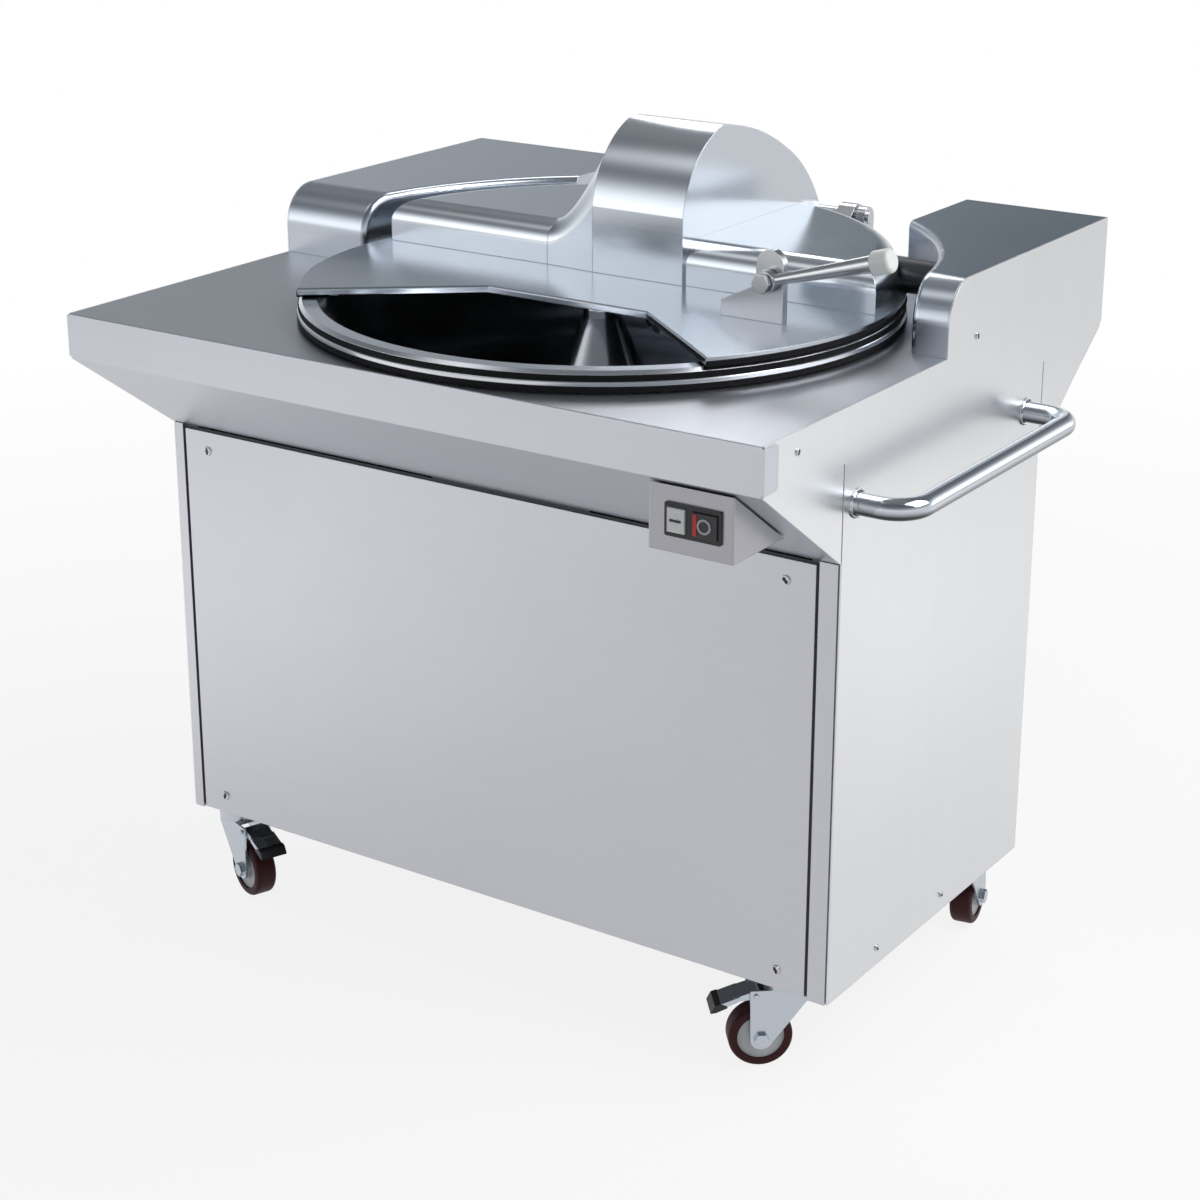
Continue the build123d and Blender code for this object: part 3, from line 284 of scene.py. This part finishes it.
SHEET = (0.605, 0.61, 0.65)
# Sheet for the side panels: the same steel as SHEET, made paler as painted light
SIDE_SHEET_PAINTED_LIGHT = (0.80, 0.805, 0.82)
POLISHED = (0.70, 0.74, 0.79)
SHAFT_LINE = (0.18, 0.858)
STEELS = {
    # The frame shows only through the gaps round the panels, and its dark colour paints the shade
    # in those gaps
    "frame_steel": dict(colour=(0.10, 0.10, 0.11), rough=0.45, grain="z"),
    "table_steel": dict(colour=(0.64, 0.655, 0.70), rough=0.37, grain="x"),
    "housing_steel": dict(colour=(0.61, 0.65, 0.71), rough=0.22, grain="x"),
    "side_steel": dict(colour=SIDE_SHEET_PAINTED_LIGHT, rough=0.33, grain="z"),
    "front_steel": dict(colour=SHEET, rough=0.32, grain="x"),
    "rear_steel": dict(colour=SHEET, rough=0.34, grain="x"),
    "screw_steel": dict(colour=(0.66, 0.66, 0.68), rough=0.3, grain="turned_y", soft_edge=0.0004),
    "bowl_steel": dict(colour=(0.76, 0.78, 0.82), rough=0.17, grain="turned_z", streak=0.8),
    "lid_steel": dict(colour=POLISHED, rough=0.17, grain="x", streak=0.6, soft_edge=0.0016),
    # Bright steel gets painted shade on whatever faces down
    "bright_steel": dict(colour=POLISHED, rough=0.10, grain="y", streak=0.3, painted_underside_shade=True),
    "blade_steel": dict(colour=POLISHED, rough=0.14, grain="turned_x", centre=SHAFT_LINE,
                        streak=0.6),
    "shaft_steel": dict(colour=(0.6, 0.6, 0.62), rough=0.2, grain="turned_x", centre=SHAFT_LINE),
    # The switch box gets a darker copy of the sheet's steel: painted shade
    "box_steel": dict(colour=(0.42, 0.42, 0.45), rough=0.34, grain="x"),
    # Darker copy of the lid steel for the lid plate: painted shade
    "lid_plate_painted_shade": dict(colour=(0.53, 0.57, 0.625), rough=0.2, grain="x", streak=0.6,
                      soft_edge=0.0016),
    "lug_steel": dict(colour=(0.68, 0.69, 0.71), rough=0.24, grain="x", streak=0.6),
    "castor_zinc": dict(colour=(0.58, 0.62, 0.68), rough=0.26, grain="z", streak=0.6,
                        soft_edge=0.0006),
    "motor_alloy": dict(colour=(0.5, 0.5, 0.52), rough=0.5, grain="x"),
}
PLASTICS = {
    "drive_iron": dict(colour=(0.09, 0.10, 0.11), rough=0.45, mottle=0.2, bump=0.2,
                       grain_scale=400),
    "motor_paint": dict(colour=(0.05, 0.11, 0.2), rough=0.35, mottle=0.1, bump=0.1,
                        grain_scale=500),
    "belt_rubber": dict(colour=(0.010, 0.010, 0.011), rough=0.6, sheen=0.12),
    "black_plastic": dict(colour=(0.018, 0.018, 0.02), rough=0.38),
    "start_plastic": dict(colour=(0.80, 0.80, 0.79), rough=0.3, mottle=0.03),
    "stop_plastic": dict(colour=(0.03, 0.03, 0.035), rough=0.28),
    "knob_plastic": dict(colour=(0.84, 0.84, 0.82), rough=0.32, mottle=0.03),
    "castor_tyre": dict(colour=(0.05, 0.010, 0.012), rough=0.5, mottle=0.15, bump=0.15,
                        grain_scale=600, sheen=0.2),
    "castor_core": dict(colour=(0.60, 0.61, 0.62), rough=0.35),
    "pad_black": dict(colour=(0.015, 0.015, 0.017), rough=0.4),
    "mark_red": dict(colour=(0.55, 0.03, 0.025), rough=0.35),
    "mark_grey": dict(colour=(0.45, 0.45, 0.46), rough=0.35),
}
MATERIALS = {name: steel(name, **look) for name, look in STEELS.items()}
MATERIALS |= {name: plastic(name, **look) for name, look in PLASTICS.items()}

SLOT_OF = {row["node"]: row["material_slot"] for row in frame["record"]["subparts"]}
BODY_OF = {name: node["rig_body"] for name, node in nodes.items()}
for node_name, node_object in nodes.items():
    node_object.data.materials.clear()
    node_object.data.materials.append(MATERIALS[SLOT_OF[node_name]])
# The lid plate shares the decks' slot, but gets a darker copy of their steel as painted shade
nodes["lid_plate"].data.materials[0] = MATERIALS["lid_plate_painted_shade"]

# Scene pieces: thin trim that rides on the CAD bodies. Their sizes are in millimetres.
SHARP_ANGLE = math.radians(35)


def add_piece(name, form, body, slot, material=None):
    """Skin over loops of points. Loops that don't close into a ring get a face at each end."""
    loops, closed = form
    mesh = bpy.data.meshes.new(name)
    shape = bmesh.new()
    rings = [[shape.verts.new(point) for point in loop] for loop in loops]
    count = len(rings[0])
    for here, there in zip(rings, rings[1:] + rings[:1] if closed else rings[1:]):
        for i in range(count):
            j = (i + 1) % count
            shape.faces.new((here[i], there[i], there[j], here[j]))
    if not closed:
        shape.faces.new(rings[0])
        shape.faces.new(rings[-1])
    bmesh.ops.recalc_face_normals(shape, faces=shape.faces)
    shape.to_mesh(mesh)
    shape.free()
    piece = bpy.data.objects.new(name, mesh)
    bpy.context.scene.collection.objects.link(piece)
    mesh.materials.append(MATERIALS[material or slot])
    mesh.shade_smooth()
    mesh.set_sharp_from_angle(angle=SHARP_ANGLE)
    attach(piece, body)


def facing(origin, x_dir, normal):
    """Plane whose third axis is the normal."""
    u = Vector(x_dir).normalized()
    n = Vector(normal).normalized()
    v = n.cross(u)
    turn = Matrix((u, v, n)).transposed().to_4x4()
    return Matrix.Translation(Vector(origin) * MM) @ turn


def turned_strip(profile, start, end, steps):
    """(radius, height) profile swept round the bowl's axis between two angles in degrees."""
    full = end - start == 360
    loops = []
    for i in range(steps if full else steps + 1):
        a = math.radians(start + (end - start) * i / steps)
        loops.append([(r * MM * math.cos(a), r * MM * math.sin(a), z * MM) for r, z in profile])
    return loops, full


def slab(outline, plane, depth):
    """Outline of (u, v) points in a plane, run to a depth along the plane's third axis."""
    loops = [
        [plane @ Vector((u * MM, v * MM, w * MM)) for u, v in outline]
        for w in (0, depth)
    ]
    return loops, False


def flat_ring(inner, outer, plane, depth, steps=32):
    """Flat ring with square edges in a plane."""
    turns = [2 * math.pi * i / steps for i in range(steps)]
    loops = [
        [plane @ Vector((r * MM * math.cos(a), r * MM * math.sin(a), w * MM)) for a in turns]
        for r, w in ((inner, 0), (outer, 0), (outer, depth), (inner, depth))
    ]
    return loops, True


def weld_bead(radius, tube, plane, ripples, ripple_share=0.13, waver_share=0.06,
              steps=64, around=8):
    """Rippled weld run round a tube's root, with a slow waver three times round."""
    loops = []
    for i in range(steps):
        a = 2 * math.pi * i / steps
        ripple = ripple_share * math.sin(ripples * a)
        fat = tube * (1 + ripple + waver_share * math.sin(3 * a + 1))
        loop = []
        for k in range(around):
            b = 2 * math.pi * k / around
            r = radius + fat * math.cos(b)
            point = Vector((r * MM * math.cos(a), r * MM * math.sin(a), fat * MM * math.sin(b)))
            loop.append(plane @ point)
        loops.append(loop)
    return loops, True


def box_outline(x0, x1, z0, z1):
    return [(x0, z0), (x1, z0), (x1, z1), (x0, z1)]


# (x direction, normal) of what faces the front and the right
FRONT = ((1, 0, 0), (0, -1, 0))
RIGHT = ((0, 1, 0), (1, 0, 0))

# Painted shade round the bowl's rim, both all the way round: a black rubber ring below the rim
# bead for the shaded gap over the worktop, and a black band above the bead for the shaded groove
# under the flange
RIM_STEPS = 192
RIM_UNDER_SHADE = [
    (345.4, 812.0), (352.6, 812.0), (353.4, 812.8), (353.4, 818.0), (352.6, 818.9), (345.4, 818.9),
]
RIM_GROOVE_SHADE = [
    (348.6, 824.6), (352.0, 824.4), (352.2, 825.0), (352.2, 830.0), (351.6, 830.6), (348.6, 830.9),
]
for rim_name, rim_profile in (("seal", RIM_UNDER_SHADE), ("band", RIM_GROOVE_SHADE)):
    rim_form = turned_strip(rim_profile, 0, 360, RIM_STEPS)
    add_piece(f"bowl_rim_shade_{rim_name}", rim_form, "bowl_rotor", "belt_rubber")

# The lid plate's seal: two arcs, with a gap between them for the shaft and none over the bowl's
# open front
LID_SEAL = [
    (345.6, 835.6), (352.4, 835.6), (353.2, 836.4), (353.2, 840.6),
    (352.6, 841.4), (351.0, 841.4), (351.0, 837.9), (345.6, 837.9),
]
LID_SEAL_ARCS = {"right": (-38.1, 25.5, 40), "rear": (36.2, 219.5, 110)}
for arc_name, arc in LID_SEAL_ARCS.items():
    add_piece(f"lid_seal_{arc_name}", turned_strip(LID_SEAL, *arc), "lid", "belt_rubber")

# Marks on the two buttons, sunk a little into the faces
BUTTON_Z = 715.0
START_X = 328.5
STOP_X = 362.5
BUTTON_FACE_Y = -355.0
MARK_IN = 0.4
MARK_OUT = 0.8
MARK_DEPTH = MARK_IN + MARK_OUT
DASH_HALF_LENGTH = 6.5
DASH_HALF_WIDTH = 1.3
STRIP_OUTER = 13.0
STRIP_INNER = 8.6
STRIP_HALF_LENGTH = 11.4
RING_INNER = 5.9
RING_OUTER = 8.1

mark_y = BUTTON_FACE_Y + MARK_IN
mark_plane = facing((0, mark_y, 0), *FRONT)
dash = box_outline(START_X - DASH_HALF_LENGTH, START_X + DASH_HALF_LENGTH,
                   BUTTON_Z - DASH_HALF_WIDTH, BUTTON_Z + DASH_HALF_WIDTH)
add_piece("start_dash", slab(dash, mark_plane, MARK_DEPTH),
          BODY_OF["start_button"], "start_plastic", "pad_black")
strip = box_outline(STOP_X - STRIP_OUTER, STOP_X - STRIP_INNER,
                    BUTTON_Z - STRIP_HALF_LENGTH, BUTTON_Z + STRIP_HALF_LENGTH)
add_piece("stop_red_strip", slab(strip, mark_plane, MARK_DEPTH),
          BODY_OF["stop_button"], "stop_plastic", "mark_red")
ring_plane = facing((STOP_X, mark_y, BUTTON_Z), *FRONT)
add_piece("stop_ring", flat_ring(RING_INNER, RING_OUTER, ring_plane, MARK_DEPTH),
          BODY_OF["stop_button"], "stop_plastic", "mark_grey")

# Weld runs at the push handle's two roots
HANDLE_ROOTS = {"front": (430.9, -162.0, 700.0), "rear": (430.9, 246.0, 700.0)}
WELD_RADIUS = 14.9
WELD_TUBE = 1.5
WELD_RIPPLES = 19
for root_name, root_at in HANDLE_ROOTS.items():
    weld = weld_bead(WELD_RADIUS, WELD_TUBE, facing(root_at, *RIGHT), WELD_RIPPLES)
    add_piece(f"handle_weld_{root_name}", weld, "base", "bright_steel")

# Black rubber tips on the brake pedals. Each castor has its x, y and turn in degrees.
CASTORS = {
    "front_right": (347.0, -137.0, 40.0),
    "front_left": (-468.0, -150.0, 159.0),
    "rear_right": (373.0, 262.0, 280.0),
    "rear_left": (-450.0, 252.0, 120.0),
}
PEDAL_PIN = (-37.0, 93.0)
PAD_FROM_PIN = [
    (-41.5, -8.3), (-47.5, -10.3), (-52.3, -19.8), (-46.0, -19.0), (-33.0, -13.6), (-33.0, -11.6),
]
PAD_HALF = 17.8
pad_outline = [(PEDAL_PIN[0] + u, PEDAL_PIN[1] + v) for u, v in PAD_FROM_PIN]
for castor_name, (castor_x, castor_y, castor_turn) in CASTORS.items():
    lead = math.radians(castor_turn)
    forward = Vector((math.cos(lead), math.sin(lead), 0))
    sideways = Vector((-math.sin(lead), math.cos(lead), 0))
    corner = Vector((castor_x, castor_y, 0)) + sideways * PAD_HALF
    pad_plane = facing(corner, forward, -sideways)
    add_piece(f"pedal_pad_{castor_name}", slab(pad_outline, pad_plane, 2 * PAD_HALF),
              BODY_OF[f"brake_pedal_{castor_name}"], "castor_zinc", "pad_black")


# Dark driver slots on the heads of the front and right panel screws, 0.3 mm proud of them: black
# pads that paint the shade in the slots. The left heads are the edge of the CAD box, so they have
# none.
def driver_slot_shades(side, places, directions, first_angle, angle_step, length, width, depth):
    outline = box_outline(-length / 2, length / 2, -width / 2, width / 2)
    for number, place in enumerate(places, 1):
        turn = Matrix.Rotation(math.radians(first_angle + angle_step * number), 2)
        turned = [tuple(turn @ Vector(point)) for point in outline]
        form = slab(turned, facing(place, *directions), depth)
        add_piece(f"{side}_screw_slot_shade_{number}", form, "base", "screw_steel", "pad_black")


FRONT_SLOT_Y = -193.2
SIDE_SLOT_X = 431.2
FRONT_SCREWS = [(x, FRONT_SLOT_Y, z) for x in (-454.0, 365.0) for z in (146.0, 610.0)]
SIDE_SCREWS = [
    (SIDE_SLOT_X, -289.0, 788.0), (SIDE_SLOT_X, 107.0, 821.0),
    (SIDE_SLOT_X, -77.0, 141.0), (SIDE_SLOT_X, 83.0, 141.0),
]
driver_slot_shades("front", FRONT_SCREWS, FRONT,
             first_angle=55, angle_step=20, length=8.0, width=3.0, depth=1.3)
driver_slot_shades("side", SIDE_SCREWS, RIGHT,
             first_angle=30, angle_step=35, length=5.4, width=2.2, depth=0.7)

# Light. The camera sees a white background. Reflections see a room that is bright low down and dim
# overhead, with patches placed to suit the photograph's view.
# (height of the direction, brightness)
SKY = [
    (-1.0, 0.80), (0.0, 0.95), (0.1, 0.70), (0.2, 0.50),
    (0.3, 0.38), (0.5, 0.17), (0.8, 0.12), (1.0, 0.2),
]
SKY_COOLNESS = 0.10
# (direction, tightness, brightness); the last one darkens
GLOWS = [
    ((0.52, 0.84, 0.12), 30.0, 1.3),
    ((-0.62, -0.76, 0.16), 25.0, 1.05),
    ((-0.42, -0.35, 0.83), 60.0, 0.95),
    ((-0.50, 0.35, 0.80), 12.0, 0.15),
    ((-0.36, 0.91, 0.20), 30.0, -0.34),
]
# (name, place, target, size, watts)
LAMPS = [
    ("key_lamp", (2.4, 0.6, 3.0), (0.2, 0, 0.7), (2.4, 2.4), 70),
    ("rear_lamp", (-0.33, 0.80, 1.58), (0.35, -0.3, 0.81), (0.5, 0.4), 1.9),
]


def make_world():
    world = bpy.data.worlds.new("studio")
    bpy.context.scene.world = world
    world.use_nodes = True
    tree = world.node_tree
    tree.nodes.clear()
    out = tree.nodes.new("ShaderNodeOutputWorld")
    seen = tree.nodes.new("ShaderNodeBackground")
    seen.inputs["Color"].default_value = (1, 1, 1, 1)
    room = tree.nodes.new("ShaderNodeBackground")
    direction = tree.nodes.new("ShaderNodeTexCoord").outputs["Generated"]
    split = tree.nodes.new("ShaderNodeSeparateXYZ")
    tree.links.new(direction, split.inputs[0])
    ramp_node = tree.nodes.new("ShaderNodeValToRGB")
    tree.links.new(map_range(tree, split.outputs[2], -1.0, 1.0, 0, 1), ramp_node.inputs[0])
    ramp = ramp_node.color_ramp
    while len(ramp.elements) < len(SKY):
        ramp.elements.new(0.5)
    for element, (height, level) in zip(ramp.elements, SKY):
        cool = SKY_COOLNESS * (1 - level)
        element.position = (height + 1) / 2
        element.color = (level * (1 - cool), level, level * (1 + cool), 1)
    glow = 0.0
    for toward, tightness, amount in GLOWS:
        along = vector_math(tree, "DOT_PRODUCT", direction, Vector(toward).normalized(), "Value")
        fall = math_node(tree, "MULTIPLY", math_node(tree, "SUBTRACT", along, 1.0), tightness)
        patch = math_node(tree, "MULTIPLY", math_node(tree, "EXPONENT", fall), amount)
        glow = math_node(tree, "ADD", patch, glow)
    tree.links.new(vector_math(tree, "ADD", ramp_node.outputs[0], glow), room.inputs["Color"])
    path = tree.nodes.new("ShaderNodeLightPath")
    mix = tree.nodes.new("ShaderNodeMixShader")
    tree.links.new(path.outputs["Is Camera Ray"], mix.inputs[0])
    tree.links.new(room.outputs[0], mix.inputs[1])
    tree.links.new(seen.outputs[0], mix.inputs[2])
    tree.links.new(mix.outputs[0], out.inputs[0])


def area_lamp(name, at, target, size, power):
    data = bpy.data.lights.new(name, "AREA")
    data.shape = "RECTANGLE"
    data.size, data.size_y = size
    data.energy = power
    lamp = bpy.data.objects.new(name, data)
    bpy.context.scene.collection.objects.link(lamp)
    lamp.location = at
    lamp.rotation_mode = "QUATERNION"
    lamp.rotation_quaternion = (Vector(target) - Vector(at)).to_track_quat("-Z", "Y")
    lamp.visible_camera = False


# Floor. Reflections see it glow, with brighter patches: (centre, spread, brightness). The camera
# sees it fade to the background's white between two distances from the machine.
FLOOR_HALF = 40.0
FLOOR_COLOUR = (0.86, 0.86, 0.87, 1)
FLOOR_BASE = 0.86
FLOOR_GLOWS = [
    ((-1.5, -1.0), 0.9, 0.55), ((-1.9, -2.1), 0.7, 0.25),
    ((1.6, 1.2), 0.8, 0.40), ((1.9, 2.0), 0.55, 0.25),
]
FLOOR_GLOW_SHARE = 0.8
FADE_DISTANCES = (0.8, 3.0)
FADE_WHITENESS = (0.86, 1.0)


def make_floor():
    mesh = bpy.data.meshes.new("floor")
    half = FLOOR_HALF
    corners = [(-half, -half, 0), (half, -half, 0), (half, half, 0), (-half, half, 0)]
    mesh.from_pydata(corners, [], [(0, 1, 2, 3)])
    floor = bpy.data.objects.new("floor", mesh)
    bpy.context.scene.collection.objects.link(floor)
    material, tree, out = new_material("floor")
    pale = tree.nodes.new("ShaderNodeBsdfDiffuse")
    pale.inputs["Color"].default_value = FLOOR_COLOUR
    place = object_coords(tree)
    level = FLOOR_BASE
    for centre, spread, amount in FLOOR_GLOWS:
        away = vector_math(tree, "DISTANCE", place, (*centre, 0.0), "Value")
        ratio = math_node(tree, "DIVIDE", away, spread)
        square = math_node(tree, "MULTIPLY", ratio, ratio)
        fall = math_node(tree, "EXPONENT", math_node(tree, "MULTIPLY", square, -1.0))
        level = math_node(tree, "ADD", math_node(tree, "MULTIPLY", fall, amount), level)
    glow = tree.nodes.new("ShaderNodeEmission")
    tree.links.new(level, glow.inputs["Strength"])
    white = tree.nodes.new("ShaderNodeEmission")
    path = tree.nodes.new("ShaderNodeLightPath")
    mirrored = tree.nodes.new("ShaderNodeMixShader")
    glossy = math_node(tree, "MULTIPLY", path.outputs["Is Glossy Ray"], FLOOR_GLOW_SHARE)
    tree.links.new(glossy, mirrored.inputs[0])
    tree.links.new(pale.outputs[0], mirrored.inputs[1])
    tree.links.new(glow.outputs[0], mirrored.inputs[2])
    seen = tree.nodes.new("ShaderNodeMixShader")
    far = vector_math(tree, "DISTANCE", place, (0.0, 0.0, 0.0), "Value")
    whiteness = map_range(tree, far, *FADE_DISTANCES, *FADE_WHITENESS)
    direct = math_node(tree, "MULTIPLY", path.outputs["Is Camera Ray"], whiteness)
    tree.links.new(direct, seen.inputs[0])
    tree.links.new(mirrored.outputs[0], seen.inputs[1])
    tree.links.new(white.outputs[0], seen.inputs[2])
    tree.links.new(seen.outputs[0], out.inputs[0])
    floor.data.materials.append(material)


make_camera()
make_world()
make_floor()
for lamp_settings in LAMPS:
    area_lamp(*lamp_settings)

scene = bpy.context.scene
scene.view_settings.view_transform = "Standard"
